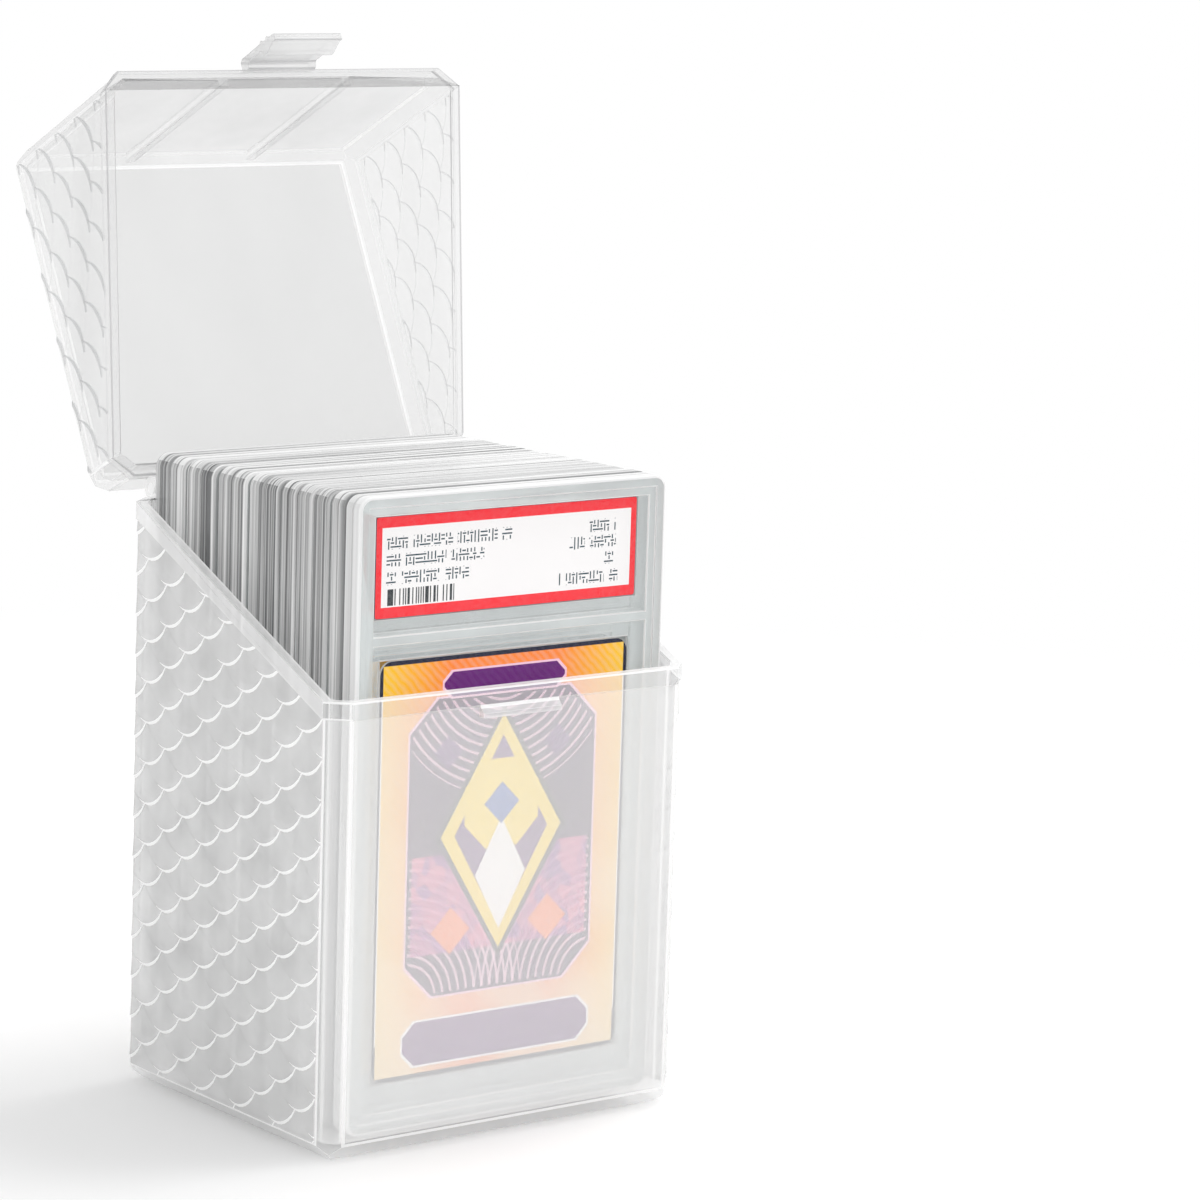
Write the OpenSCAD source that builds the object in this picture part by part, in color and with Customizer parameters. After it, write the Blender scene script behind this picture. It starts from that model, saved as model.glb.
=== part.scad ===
// Clear hinged display case for a row of graded trading cards.
// Millimetres. +X is to the right, +Y to the back and +Z up. The origin is the centre of the
// case's foot, on the surface it stands on. The lid is drawn open, tipped back onto its stop.

/* [Card] */
// Width of a standard trading card
card_w = 63.5; // [50:0.5:80]
// Height of a standard trading card
card_h = 88.9; // [70:0.1:110]
// Thickness of the card stock
card_t = 0.6; // [0.3:0.05:1]
// Height of the paper label above the card
label_h = 21; // [12:0.5:30]
// Thickness of the label
label_t = 0.3; // [0.1:0.05:0.5]

/* [Card holder] */
// Plastic at each side of the card
holder_side = 7.4; // [5:0.2:15]
// Plastic at each side of the label
label_side = 5.8; // [4.8:0.2:12]
// Plastic under the card
holder_foot = 9.8; // [5:0.2:16]
// Plastic between the card and the label
holder_bar = 8.9; // [5:0.1:14]
// Plastic above the label
holder_head = 4.7; // [4.5:0.1:10]
// Thickness of each half of a holder
holder_half_t = 2.7; // [2.2:0.1:4]
// Radius of a holder's corners
holder_r = 3; // [1:0.5:5]
// Width of the raised frame round a holder's face
frame_w = 2.4; // [1.5:0.1:3]
// Height of that frame above the step inside it
frame_rise = 0.4; // [0.2:0.1:0.6]
// Width of the frame and the step together
step_w = 4.2; // [3.4:0.1:4.4]
// Height of the step above the two windows inside it
step_rise = 0.3; // [0.1:0.1:0.5]
// Width of the bar between the two windows
bar_w = 1.9; // [1:0.1:3]
// Distance from the label down to that bar
bar_drop = 3.3; // [1:0.1:5]
// Play round a card or a label in its pocket
pocket_play = 0.3; // [0.1:0.05:0.6]
// Play at each face of a card or a label in its pocket
pocket_deep = 0.05; // [0.02:0.01:0.1]
// Gap between neighbouring holders
holder_gap = 0.2; // [0.1:0.05:1]
// How far the row of holders runs out of line from its middle to each end
row_skew = 1.7; // [0:0.1:2]
// How far single holders stand out of that line
row_scatter = 0.3; // [0:0.05:0.5]
// Turn from one holder to the next of the wave that scatters them, in degrees
row_turn = 200; // [140:10:220]

/* [Case] */
// Thickness of the walls
wall_t = 2; // [1.6:0.1:3]
// Thickness of the base's floor
floor_t = 3.4; // [3:0.1:6]
// Thickness of the lid's top
top_t = 2; // [1.6:0.1:4]
// Space at each side of the holders
side_clear = 4.6; // [3.6:0.1:8]
// Space in front of the holders
front_clear = 2.4; // [2.4:0.1:8]
// Space behind the holders
back_clear = 0.8; // [0.5:0.1:8]
// Space above the holders when the lid is shut
head_clear = 3.3; // [2.4:0.1:8]
// Cut of the upright corners, measured along each wall
corner_cut = 4.2; // [3:0.1:6]
// Bevel round the bottom edge
bottom_bevel = 3.6; // [1:0.1:4]
// Bevel round the top edge
top_bevel = 3.5; // [1:0.1:4]
// Height of the seam at the front wall
seam_front = 96; // [60:1:100]
// Distance of the seam below the top at the back wall
seam_back_drop = 15.2; // [12:0.2:25]
// Gap between the base's rim and the lid's rim
seam_gap = 0.3; // [0.1:0.05:0.6]
// Height of the clear band along the base's rim
band_h = 3.8; // [2:0.1:6]
// Height of the lip along the lid's rim
lip_h = 2.4; // [1.5:0.1:4]
// How far the band and the lip stand out of the walls
rim_rise = 0.4; // [0.2:0.1:0.8]

/* [Lid] */
// Angle that the lid is tipped back by
open_angle = 117; // [100:1:125]
// Distance between the two ribs inside the lid's front wall
rib_spacing = 32; // [24:1:50]
// Width of a rib
rib_w = 2.4; // [1:0.1:4]
// Height of a rib above the wall
rib_rise = 1.6; // [0.5:0.1:1.8]

/* [Hinge] */
// Distance between the middles of the two hinges
hinge_spacing = 60; // [40:1:66]
// Width of one hinge, over its outer knuckles
hinge_w = 16; // [12:0.5:20]
// Width of each outer knuckle
knuckle_w = 4; // [2:0.25:5]
// Radius of the knuckles
knuckle_r = 2.6; // [2.2:0.1:3.5]
// Radius of the hinge pins
pin_r = 1.2; // [0.8:0.1:1.4]
// Running clearance round a pin in the lid's knuckle
pin_clear = 0.06; // [0.02:0.01:0.1]
// Clearance round a pin in the base's knuckles, which hold it tight
pin_fit = 0.01; // [0.005:0.005:0.02]
// Gap between the knuckles and what they pass
knuckle_gap = 0.2; // [0.15:0.05:0.4]
// Length of the web that carries a knuckle on its wall
web_h = 6.5; // [4:0.5:9]
// Height of the hinge axis above the seam
axis_rise = 1.2; // [0.8:0.1:2]
// Height of the heel's face that stops the open lid
heel_h = 3; // [2:0.25:4]
// Width of that heel
heel_w = 2.2; // [1.6:0.1:2.6]
// Gap between the heel and the base's back wall when the lid is open
heel_gap = 0.05; // [0.02:0.01:0.1]

/* [Latch] */
// Width of the latch tab
latch_w = 17.5; // [10:0.5:30]
// Thickness of the tab
latch_t = 1.6; // [1:0.1:2.5]
// How far the tab reaches below the seam
latch_drop = 11.8; // [11:0.2:16]
// Radius of the finger ridges
ridge_r = 0.5; // [0.3:0.05:0.8]
// Distance from the tab's lower edge to the first ridge, and from ridge to ridge
ridge_step = 2.4; // [1.6:0.1:3.6]
// Width of the catch bar on the base
catch_w = 20; // [12:0.5:34]
// Height of the catch bar
catch_h = 2.2; // [1.5:0.1:3]
// How far the catch bar stands out of the wall
catch_rise = 1.6; // [1:0.1:2.2]
// Clearance between the latch and the catch bar
latch_clear = 0.3; // [0.2:0.05:0.6]
// How far the hook reaches in under the catch bar
hook_reach = 1.1; // [0.6:0.1:1.3]
// Height of the hook's tip
hook_h = 1.2; // [0.8:0.1:1.6]
// Height of the flat below the hook, at the tab's lower edge
latch_tip = 1; // [0.6:0.1:1.2]

/* [Hidden] */
// Pieces: the case, then the same four pieces for every card holder in the row
HOLDERS = 13;
HOLDER_PARTS = ["front", "back", "card", "label"];
function two(i) = i < 10 ? str("0", i) : str(i);
function holder_node(i, part) = str("holder_", two(i), "_", part);

// Round pieces
$fn = 48;
// Overlap of joined shapes
eps = 0.5;
// Reach of a cutting shape past the whole case
far = 400;

// Card holder
holder_w = card_w + 2 * holder_side;
holder_h = holder_foot + card_h + holder_bar + label_h + holder_head;
holder_t = 2 * holder_half_t;
label_w = holder_w - 2 * label_side;
label_z = holder_foot + card_h + holder_bar;
bar_z = label_z - bar_drop;
pitch = holder_t + holder_gap;

// Case
inner_w = holder_w + 2 * side_clear;
inner_d = HOLDERS * pitch - holder_gap + front_clear + back_clear;
case_w = inner_w + 2 * wall_t;
case_d = inner_d + 2 * wall_t;
case_h = floor_t + holder_h + head_clear + top_t;
front_y = -case_d / 2;
back_y = case_d / 2;
row_y = front_y + wall_t + front_clear;
seam_back = case_h - seam_back_drop;
// A bevel that keeps its distance moves by this share of the distance
BEVEL_SHARE = 2 - sqrt(2);
// The inner bevels stay this far from the holders' corners
BEVEL_GAP = 0.4;
corner_room = side_clear + back_clear - row_skew - row_scatter - BEVEL_GAP;
inner_cut = min(corner_cut - wall_t * BEVEL_SHARE, corner_room);
inner_top_bevel = min(top_bevel - wall_t * BEVEL_SHARE, head_clear + back_clear - BEVEL_GAP);
inner_bottom_bevel = back_clear < 1 ? back_clear / 2 : 0.5;

// Hinge
hinge_y = back_y + rim_rise + knuckle_gap + knuckle_r;
hinge_z = seam_back + axis_rise;
lid_knuckle_w = hinge_w - 2 * knuckle_w - 2 * knuckle_gap;
// How far below the horizontal the web meets the knuckle, in degrees
WEB_LEAN = 40;
// The heel's face, from the axis to the band on the base's back wall
heel_y = -(knuckle_r + knuckle_gap - heel_gap);
// Depth below the axis at which that face starts
HEEL_TOP = 0.6;

// Latch, on the closed lid
catch_top = seam_front - band_h;
catch_y = front_y - catch_rise;
latch_in_y = catch_y - latch_clear;
latch_out_y = latch_in_y - latch_t;
lip_y = front_y - rim_rise;
hook_top = catch_top - catch_h - latch_clear;
latch_end = seam_front - latch_drop;
latch_root = seam_front + seam_gap;
latch_top = latch_root + lip_h;

CLEAR = [0.9, 0.93, 0.95, 0.35];
HOLDER_CLEAR = [0.82, 0.86, 0.88, 0.45];

// ---- outlines ----

// A rectangle with its four corners cut at 45 degrees
module cut_rectangle(w, d, cut) {
    x = w / 2;
    y = d / 2;
    polygon([
        [x - cut, -y], [x, cut - y], [x, y - cut], [x - cut, y],
        [cut - x, y], [-x, y - cut], [-x, cut - y], [cut - x, -y]
    ]);
}

// An upright side outline, from low to high, with its bottom and top corners bevelled
module bevelled_side(w, low, high, bottom, top) {
    x = w / 2;
    polygon([
        [bottom - x, low], [x - bottom, low], [x, low + bottom], [x, high - top],
        [x - top, high], [top - x, high], [-x, high - top], [-x, low + bottom]
    ]);
}

module rounded_rectangle(w, h, r) {
    square([w - 2 * r, h], center = true);
    square([w, h - 2 * r], center = true);
    for (sx = [-1, 1]) for (sy = [-1, 1])
        translate([sx * (w / 2 - r), sy * (h / 2 - r)]) circle(r);
}

// Turn a flat Y-Z outline into a solid that runs along X, centred
module along_x(length) {
    rotate([90, 0, 90])
        linear_extrude(length, center = true) children();
}

// ---- the case's block and its seam ----

// A box with cut upright corners and bevels round its bottom and its top
module block(w, d, low, high, cut, bottom, top) {
    intersection() {
        translate([0, 0, low])
            linear_extrude(high - low) cut_rectangle(w, d, cut);
        along_x(far)
            bevelled_side(d, low, high, bottom, top);
        rotate([90, 0, 0])
            linear_extrude(far, center = true) bevelled_side(w, low, high, bottom, top);
    }
}

module outer_block(grow = 0) {
    block(
        case_w + 2 * grow, case_d + 2 * grow, 0, case_h,
        corner_cut + grow * BEVEL_SHARE, bottom_bevel, top_bevel
    );
}

module inner_block() {
    block(
        inner_w, inner_d, floor_t, case_h - top_t,
        inner_cut, inner_bottom_bevel, inner_top_bevel
    );
}

// The seam from front to back, raised by up: level, then sloping, then level
function seam_line(up) = [
    [-far, seam_front + up], [front_y + corner_cut, seam_front + up],
    [back_y - corner_cut, seam_back + up], [far, seam_back + up]
];

module below_seam(up) {
    along_x(far)
        polygon(concat(seam_line(up), [[far, -far], [-far, -far]]));
}

module above_seam(up) {
    along_x(far)
        polygon(concat(seam_line(up), [[far, far], [-far, far]]));
}

// ---- base ----

module base() {
    color(CLEAR) {
        difference() {
            union() {
                intersection() {
                    outer_block();
                    below_seam(0);
                }
                intersection() {
                    outer_block(rim_rise);
                    below_seam(0);
                    above_seam(-band_h);
                }
                catch_bar();
                for (side = [-1, 1]) base_knuckles(side);
            }
            inner_block();
        }
    }
}

module catch_bar() {
    lead = catch_rise - rim_rise;
    along_x(catch_w)
        polygon([
            [front_y + eps, catch_top], [lip_y, catch_top], [catch_y, catch_top - lead],
            [catch_y, catch_top - catch_h], [front_y + eps, catch_top - catch_h]
        ]);
}

// The web's outline from the wall to the knuckle; way is -1 on the base and 1 on the lid
module knuckle_outline(way) {
    wall_z = way < 0 ? seam_back : seam_back + seam_gap;
    translate([hinge_y, hinge_z]) circle(knuckle_r);
    polygon([
        [back_y - eps, wall_z], [back_y - eps, wall_z + way * web_h],
        [hinge_y + knuckle_r * cos(WEB_LEAN), hinge_z + way * knuckle_r * sin(WEB_LEAN)],
        [hinge_y, hinge_z]
    ]);
}

module base_knuckles(side) {
    translate([side * hinge_spacing / 2, 0, 0])
        difference() {
            for (end = [-1, 1])
                translate([end * (hinge_w - knuckle_w) / 2, 0, 0])
                    along_x(knuckle_w) knuckle_outline(-1);
            along_x(hinge_w + 2 * eps)
                translate([hinge_y, hinge_z]) circle(pin_r + pin_fit);
        }
}

// ---- lid, drawn shut and then tipped back ----

// Turn something drawn on the closed lid to where it is on the open one
module opened() {
    translate([0, hinge_y, hinge_z])
        rotate([-open_angle, 0, 0])
            translate([0, -hinge_y, -hinge_z]) children();
}

module lid() {
    color(CLEAR)
        opened() {
            lid_shell();
            for (side = [-1, 1]) lid_rib(side);
            for (side = [-1, 1]) lid_knuckle(side);
        }
}

module lid_shell() {
    difference() {
        union() {
            intersection() {
                outer_block();
                above_seam(seam_gap);
            }
            intersection() {
                outer_block(rim_rise);
                above_seam(seam_gap);
                below_seam(seam_gap + lip_h);
            }
        }
        inner_block();
    }
}

module lid_rib(side) {
    intersection() {
        outer_block();
        translate([side * rib_spacing / 2 - rib_w / 2, front_y + wall_t - eps, seam_front + seam_gap])
            cube([rib_w, rib_rise + eps, case_h]);
    }
}

// The lid's knuckle, with the heel that meets the base's back wall when the lid is open
module lid_knuckle(side) {
    translate([side * hinge_spacing / 2, 0, 0])
        along_x(lid_knuckle_w)
            difference() {
                union() {
                    knuckle_outline(1);
                    stop_heel();
                }
                translate([hinge_y, hinge_z]) circle(pin_r + pin_clear);
            }
}

// The heel's outline, given as it lies on the open lid and turned back to the closed one
module stop_heel() {
    low = -HEEL_TOP - heel_h;
    translate([hinge_y, hinge_z])
        rotate(open_angle)
            polygon([
                [heel_y, -HEEL_TOP], [heel_y, low], [heel_y + heel_w, low],
                [knuckle_r * cos(45), -knuckle_r * sin(45)], [0, 0]
            ]);
}

module hinge_pin(side) {
    color(CLEAR)
        translate([side * hinge_spacing / 2, hinge_y, hinge_z])
            rotate([0, 90, 0])
                cylinder(h = hinge_w, r = pin_r, center = true);
}

// ---- latch ----

module latch() {
    color(CLEAR)
        opened() {
            along_x(latch_w) tab_outline();
            for (i = [1:2])
                along_x(latch_w)
                    translate([latch_out_y, latch_end + i * ridge_step + ridge_r]) circle(ridge_r);
        }
}

// The tab with its root on the lid's lip and its hook under the catch bar
module tab_outline() {
    hook_y = latch_in_y + latch_clear + hook_reach;
    polygon([
        [lip_y, latch_top], [lip_y, latch_root], [latch_in_y, latch_root - latch_t / 2],
        [latch_in_y, hook_top], [hook_y, hook_top], [hook_y, hook_top - hook_h],
        [latch_in_y, latch_end + latch_tip], [latch_in_y, latch_end], [latch_out_y, latch_end],
        [latch_out_y, latch_top - latch_t / 2], [latch_out_y + latch_t / 2, latch_top]
    ]);
}

// ---- card holders ----

// The middle of holder i, from the front; the row runs slightly out of line
function holder_x(i) = row_skew * (1 - 2 * (i - 1) / (HOLDERS - 1)) + row_scatter * cos(row_turn * i);
function holder_y(i) = row_y + holder_half_t + (i - 1) * pitch;

// A flat outline, standing up, that runs from y to y + length
module standing(y, length) {
    translate([0, y + length, 0])
        rotate([90, 0, 0])
            linear_extrude(length) children();
}

module card_window(play) {
    translate([0, holder_foot + card_h / 2])
        square([card_w + 2 * play, card_h + 2 * play], center = true);
}

module label_window(play) {
    translate([0, label_z + label_h / 2])
        square([label_w + 2 * play, label_h + 2 * play], center = true);
}

// A window in a holder's face, from low to high, that leaves edge at each side
module face_window(edge, low, high) {
    translate([0, (low + high) / 2])
        square([holder_w - 2 * edge, high - low], center = true);
}

// One half: a plate with a stepped frame outside and pockets inside; its inner face is at y = 0
module holder_half() {
    difference() {
        standing(-holder_half_t, holder_half_t)
            translate([0, holder_h / 2])
                rounded_rectangle(holder_w, holder_h, holder_r);
        standing(-holder_half_t - eps, frame_rise + eps)
            face_window(frame_w, frame_w, holder_h - frame_w);
        standing(-holder_half_t - eps, frame_rise + step_rise + eps) {
            face_window(step_w, step_w, bar_z - bar_w);
            face_window(step_w, bar_z, holder_h - step_w);
        }
        standing(-card_t / 2 - pocket_deep, card_t)
            card_window(pocket_play);
        standing(-label_t / 2 - pocket_deep, label_t)
            label_window(pocket_play);
    }
}

module holder_piece(i, part) {
    translate([holder_x(i), holder_y(i), floor_t]) {
        if (part == "front") color(HOLDER_CLEAR) holder_half();
        if (part == "back") color(HOLDER_CLEAR) rotate([0, 0, 180]) holder_half();
        if (part == "card") color([0.93, 0.62, 0.2]) standing(-card_t / 2, card_t) card_window(0);
        if (part == "label") color([0.9, 0.25, 0.3]) standing(-label_t / 2, label_t) label_window(0);
    }
}

base();
lid();
latch();
hinge_pin(-1);  // hinge_pin_left
hinge_pin(1);  // hinge_pin_right
for (i = [1:HOLDERS]) for (part = HOLDER_PARTS)
    holder_piece(i, part);
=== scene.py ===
# %% [markdown]
# # A clear display case with a row of card holders
# The case is a box moulded in clear plastic. Its lid is tipped back on two hinges, and thirteen
# sealed card holders stand in it. The measured model is loaded first, as a frame that nothing
# may move. Each piece that is made below rides on one of its bodies.

# %% Load the measured frame
import math

import bmesh
import bpy
from mathutils import Matrix, Vector


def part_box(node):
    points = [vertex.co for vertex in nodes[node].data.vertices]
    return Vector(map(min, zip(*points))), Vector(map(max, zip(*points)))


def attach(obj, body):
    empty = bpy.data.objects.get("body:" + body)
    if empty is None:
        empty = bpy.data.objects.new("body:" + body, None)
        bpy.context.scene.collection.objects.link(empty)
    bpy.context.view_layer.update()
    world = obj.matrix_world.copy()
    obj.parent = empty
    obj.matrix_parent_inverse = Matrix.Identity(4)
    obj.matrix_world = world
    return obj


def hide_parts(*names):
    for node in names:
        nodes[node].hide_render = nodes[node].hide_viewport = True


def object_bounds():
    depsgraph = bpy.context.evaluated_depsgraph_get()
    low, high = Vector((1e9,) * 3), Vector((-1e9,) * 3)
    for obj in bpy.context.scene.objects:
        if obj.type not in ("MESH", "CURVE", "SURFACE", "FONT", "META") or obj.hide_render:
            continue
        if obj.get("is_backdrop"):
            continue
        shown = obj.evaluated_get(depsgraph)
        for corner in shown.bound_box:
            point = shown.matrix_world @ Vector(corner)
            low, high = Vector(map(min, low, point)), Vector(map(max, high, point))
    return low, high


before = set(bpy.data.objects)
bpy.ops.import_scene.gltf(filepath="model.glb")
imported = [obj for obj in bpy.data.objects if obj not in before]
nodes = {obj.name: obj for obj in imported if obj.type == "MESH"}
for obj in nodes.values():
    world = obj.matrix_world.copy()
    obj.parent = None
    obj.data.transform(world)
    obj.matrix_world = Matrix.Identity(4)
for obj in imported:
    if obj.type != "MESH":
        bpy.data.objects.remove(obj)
cad_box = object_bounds()
scene = bpy.context.scene
MM = 0.001

# %% [markdown]
# ## The camera
# The photograph was taken from the front left and a little above, with a long lens. The numbers
# come from fitting the case's corners to the picture. They are a turn, a height angle, a roll,
# and the distance to a point on the case's middle line.

# %% Make the camera
TURN, HEIGHT, ROLL = (math.radians(a) for a in (37.76, 9.73, 1.82))
FOCAL_PIXELS, IMAGE_PIXELS = 4546.5, 1200
AIM = Vector((0, 0, 70)) * MM
OFFSET = Vector((-41.7, -36.9, 973.5)) * MM

look = Vector((math.sin(TURN) * math.cos(HEIGHT), math.cos(TURN) * math.cos(HEIGHT), -math.sin(HEIGHT)))
right = Vector((math.cos(TURN), -math.sin(TURN), 0))
up = right.cross(look)
right, up = (math.cos(ROLL) * right + math.sin(ROLL) * up, math.cos(ROLL) * up - math.sin(ROLL) * right)
eye = AIM - right * OFFSET.x - up * OFFSET.y - look * OFFSET.z

lens = bpy.data.cameras.new("camera")
lens.sensor_width = 36
lens.lens = FOCAL_PIXELS / IMAGE_PIXELS * lens.sensor_width
camera = bpy.data.objects.new("camera", lens)
scene.collection.objects.link(camera)
camera.matrix_world = Matrix((
    (right.x, up.x, -look.x, eye.x),
    (right.y, up.y, -look.y, eye.y),
    (right.z, up.z, -look.z, eye.z),
    (0, 0, 0, 1),
))
scene.camera = camera
scene.view_settings.view_transform = "Standard"
print("camera at", tuple(round(v, 3) for v in eye), "with a lens of", round(lens.lens), "mm")

# %% [markdown]
# ## Helpers for modelling
# Every piece is modelled as by hand, with operators that act on what is selected. These helpers
# pick one object, pick faces or edges by a test, and run a modifier to the end.

# %% Helpers that select
def take(piece):
    """Select one object and nothing else, and make it the active one."""
    bpy.ops.object.select_all(action="DESELECT")
    piece.select_set(True)
    bpy.context.view_layer.objects.active = piece


def open_mesh(piece):
    take(piece)
    bpy.ops.object.mode_set(mode="EDIT")
    bpy.ops.mesh.select_all(action="DESELECT")


def close_mesh():
    bpy.ops.object.mode_set(mode="OBJECT")


def pick(piece, kind, test):
    """In edit mode, select the faces, edges or verts that pass a test."""
    bpy.ops.mesh.select_mode(type={"faces": "FACE", "edges": "EDGE", "verts": "VERT"}[kind])
    bpy.ops.mesh.select_all(action="DESELECT")
    mesh = bmesh.from_edit_mesh(piece.data)
    found = [e for e in getattr(mesh, kind) if test(e)]
    for element in found:
        element.select_set(True)
    mesh.select_flush_mode()
    bmesh.update_edit_mesh(piece.data)
    return len(found)


bpy.ops.object.select_all(action="DESELECT")
print("nothing is selected:", not bpy.context.selected_objects)


# %% Helpers that finish
def rename(name):
    piece = bpy.context.active_object
    piece.name = name
    piece.data.name = name
    return piece


def apply_modifier(piece, kind, **settings):
    take(piece)
    made = piece.modifiers.new(kind.lower(), kind)
    for key, value in settings.items():
        setattr(made, key, value)
    bpy.ops.object.modifier_apply(modifier=made.name)


def settle(piece):
    """Put the piece's place into its mesh, so that its object sits at the origin."""
    take(piece)
    bpy.ops.object.transform_apply(location=True, rotation=True, scale=True)


def copy_of(piece, name, shift=(0, 0, 0)):
    twin = bpy.data.objects.new(name, piece.data.copy())
    scene.collection.objects.link(twin)
    twin.data.name = name
    twin.data.transform(Matrix.Translation(Vector(shift)))
    return twin


SMOOTH_BELOW = math.radians(35)


def smooth(piece):
    """Shade bevels smoothly, and keep the large faces beside them flat."""
    take(piece)
    bpy.ops.object.shade_smooth_by_angle(angle=SMOOTH_BELOW)
    apply_modifier(piece, "WEIGHTED_NORMAL", keep_sharp=True)


print("faces that meet at less than", round(math.degrees(SMOOTH_BELOW)), "degrees are shaded smoothly")


# %% Helpers that join up and soften a measured piece
SAME_PLACE = 0.005
FLAT_BELOW, SHARP_ABOVE = math.radians(0.5), math.radians(30)
ROOMY_LENGTH, ROOMY_WIDTHS = 6, 2.5


def join_up(piece):
    """Join a mesh's loose triangles into whole flat faces, and stay in edit mode."""
    open_mesh(piece)
    bpy.ops.mesh.select_all(action="SELECT")
    bpy.ops.mesh.remove_doubles(threshold=SAME_PLACE * MM)
    bpy.ops.mesh.dissolve_limited(angle_limit=FLAT_BELOW)


def softened(node_name, name, wide, fine):
    """A copy of a node, joined up, with its sharp edges rounded in the second material."""
    piece = copy_of(nodes[node_name], name)
    piece.data.materials.clear()
    for _ in range(2):
        piece.data.materials.append(None)

    def sharp(edge):
        rounded = any(f.material_index for f in edge.link_faces)
        return edge.calc_face_angle(0) > SHARP_ABOVE and not rounded

    def roomy(edge):
        """A long sharp edge between faces that are wide enough for the wide bevel."""
        length = edge.calc_length()
        return sharp(edge) and length > ROOMY_LENGTH * MM and all(
            f.calc_area() / length > ROOMY_WIDTHS * wide * MM for f in edge.link_faces)

    join_up(piece)
    found = [pick(piece, "edges", roomy)]
    bpy.ops.mesh.bevel(offset=wide * MM, segments=2, material=1)
    found.append(pick(piece, "edges", sharp))
    bpy.ops.mesh.bevel(offset=fine * MM, segments=1, material=1, clamp_overlap=True)
    close_mesh()
    smooth(piece)
    print(name, "has", len(piece.data.polygons), "faces; edges rounded:", found)
    return piece


# %% [markdown]
# ## Helpers for materials
# A material is a tree of nodes. These helpers keep the lines short: one adds a node with its
# values, one adds a sum, and one lays a colour over another through a mask.

# %% Node helpers
def feed(tree, socket, value):
    """Link a socket to another node's output, or give it a plain value."""
    if isinstance(value, bpy.types.NodeSocket):
        tree.links.new(value, socket)
    else:
        socket.default_value = value


def node(tree, kind, inputs=None, **settings):
    """Add a node with its settings and with what goes into it."""
    made = tree.nodes.new(kind)
    for key, value in settings.items():
        setattr(made, key, value)
    for key, value in (inputs or {}).items():
        feed(tree, made.inputs[key], value)
    return made


def sum_of(tree, operation, *values, clamp=False):
    inputs = dict(enumerate(values))
    return node(tree, "ShaderNodeMath", inputs, operation=operation, use_clamp=clamp).outputs[0]


def colour(r, g, b):
    """A colour as a painter's programme gives it, from 0 to 255, as light."""
    def light(c):
        return c / 255 / 12.92 if c < 10 else ((c / 255 + 0.055) / 1.055) ** 2.4

    return light(r), light(g), light(b), 1


def lay(tree, under, over, mask):
    """One colour over another, where the mask is 1."""
    return node(tree, "ShaderNodeMix", {0: mask, 6: under, 7: over}, data_type="RGBA").outputs[2]


def new_material(name, **plain):
    material = bpy.data.materials.new(name)
    material.use_nodes = True
    tree = material.node_tree
    shader = tree.nodes["Principled BSDF"]
    for key, value in plain.items():
        shader.inputs[key.replace("_", " ")].default_value = value
    return material, tree, shader


def new_group(name, inputs, outputs):
    group = bpy.data.node_groups.new(name, "ShaderNodeTree")
    for label, kind, value in inputs:
        made = group.interface.new_socket(name=label, in_out="INPUT", socket_type=kind)
        if value is not None:
            made.default_value = value
    for label, kind in outputs:
        group.interface.new_socket(name=label, in_out="OUTPUT", socket_type=kind)
    return group, group.nodes.new("NodeGroupInput").outputs, group.nodes.new("NodeGroupOutput").inputs


def use(tree, group, **inputs):
    """Place a group in a tree with values of its own."""
    made = node(tree, "ShaderNodeGroup", node_tree=group)
    for key, value in inputs.items():
        feed(tree, made.inputs[key.replace("_", " ")], value)
    return made.outputs


print("a middle grey of 128 is", round(colour(128, 128, 128)[0], 3), "as light")

# %% [markdown]
# ## Effects that several plastics share
# Clear mouldings are never quite even. Plastic that flows into a mould leaves faint, long streaks and
# clouds. They are a group, so that each plastic can use them at its own scale. The holders' stripes and the
# card's sheen use the same noise as painted light.

# %% Flow streaks
FLOAT, VECTOR = "NodeSocketFloat", "NodeSocketVector"

streaks_and_light_bands, given, out = new_group(
    "streaks_and_light_bands",
    [("Scale", FLOAT, 60.0), ("Stretch", VECTOR, (1.0, 1.0, 0.2))],
    [("Streak", FLOAT), ("Cloud", FLOAT)],
)
place = node(streaks_and_light_bands, "ShaderNodeTexCoord").outputs["Object"]
pulled = node(
    streaks_and_light_bands, "ShaderNodeVectorMath", {0: place, 1: given["Stretch"]}, operation="MULTIPLY",
).outputs[0]
streak = node(streaks_and_light_bands, "ShaderNodeTexNoise", {"Vector": pulled, "Scale": given["Scale"], "Detail": 3.0})
cloud = node(streaks_and_light_bands, "ShaderNodeTexNoise", {"Vector": place, "Scale": given["Scale"], "Detail": 1.0})
streaks_and_light_bands.links.new(streak.outputs["Fac"], out["Streak"])
streaks_and_light_bands.links.new(cloud.outputs["Fac"], out["Cloud"])

print("groups:", [g.name for g in bpy.data.node_groups])

# %% [markdown]
# ## Clear plastic
# Real clear plastic hides little of what is behind it, and shows itself by a milky veil and by
# bright edges. Glass that bends light would take many bounces and would leave a file that other
# programs can't show. So each plastic is a thin veil: a pale surface whose alpha says how much
# it covers. It covers more where it is seen at a slant, which Layer Weight gives. A real wall
# scatters light forwards, so it dims the light less than the sight. The veil is therefore
# thinner for shadow and diffuse rays, which Light Path tells apart.

# %% Make a clear plastic
LIGHT_SHARE = 0.35


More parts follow.
